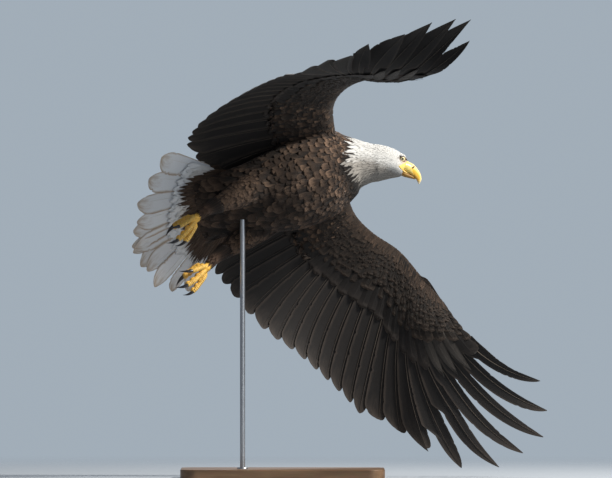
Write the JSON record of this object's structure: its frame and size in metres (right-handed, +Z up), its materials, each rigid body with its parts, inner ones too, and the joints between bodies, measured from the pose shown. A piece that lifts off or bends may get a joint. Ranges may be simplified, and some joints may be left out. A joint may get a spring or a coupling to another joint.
{
  "type": "bald eagle",
  "caption": "Life-size bald eagle banking in flight, wings spread, tail fanned and feet tucked back, held by a steel rod on a flat wooden base.",
  "frame": {"origin": "middle of the underside of the stand's base", "axes": "+Z up, +X the way the bird flies, +Y to the bird's left"},
  "size_m": [1.1431, 1.12, 1.2522],
  "materials": {
    "board": "satin oiled oak",
    "rod": "brushed",
    "body_feathers": "soft dark brown contour feathers",
    "flight_feathers": "firm blackish brown vanes with a slight sheen",
    "white_feathers": "soft white feathers",
    "bill": "smooth yellow horn",
    "foot_skin": "scaly yellow skin",
    "talon": "polished black horn",
    "eye": "wet gloss, pale yellow iris with a black pupil"
  },
  "bodies": {
    "root": {"alula_left": "flight_feathers", "alula_right": "flight_feathers", "bill_lower": "bill", "bill_upper": "bill", "eye_left": "eye", "eye_right": "eye", "forearm_left": "body_feathers", "forearm_right": "body_feathers", "hand_left": "body_feathers", "hand_right": "body_feathers", "head": "white_feathers", "neck": "white_feathers", "primaries_inner_left": "flight_feathers", "primaries_inner_right": "flight_feathers", "primary_10_left": "flight_feathers", "primary_10_right": "flight_feathers", "primary_5_left": "flight_feathers", "primary_5_right": "flight_feathers", "primary_6_left": "flight_feathers", "primary_6_right": "flight_feathers", "primary_7_left": "flight_feathers", "primary_7_right": "flight_feathers", "primary_8_left": "flight_feathers", "primary_8_right": "flight_feathers", "primary_9_left": "flight_feathers", "primary_9_right": "flight_feathers", "secondaries_left": "flight_feathers", "secondaries_right": "flight_feathers", "shank_left": "foot_skin", "shank_right": "foot_skin", "stand_base": "board", "stand_rod": "rod", "tail_1_left": "white_feathers", "tail_1_right": "white_feathers", "tail_2_left": "white_feathers", "tail_2_right": "white_feathers", "tail_3_left": "white_feathers", "tail_3_right": "white_feathers", "talon_hind_left": "talon", "talon_hind_right": "talon", "talon_inner_left": "talon", "talon_inner_right": "talon", "talon_middle_left": "talon", "talon_middle_right": "talon", "talon_outer_left": "talon", "talon_outer_right": "talon", "thigh_left": "body_feathers", "thigh_right": "body_feathers", "toe_hind_left": "foot_skin", "toe_hind_right": "foot_skin", "toe_inner_left": "foot_skin", "toe_inner_right": "foot_skin", "toe_middle_left": "foot_skin", "toe_middle_right": "foot_skin", "toe_outer_left": "foot_skin", "toe_outer_right": "foot_skin", "trunk": "body_feathers", "upper_arm_left": "body_feathers", "upper_arm_right": "body_feathers"}
  },
  "joints": []
}
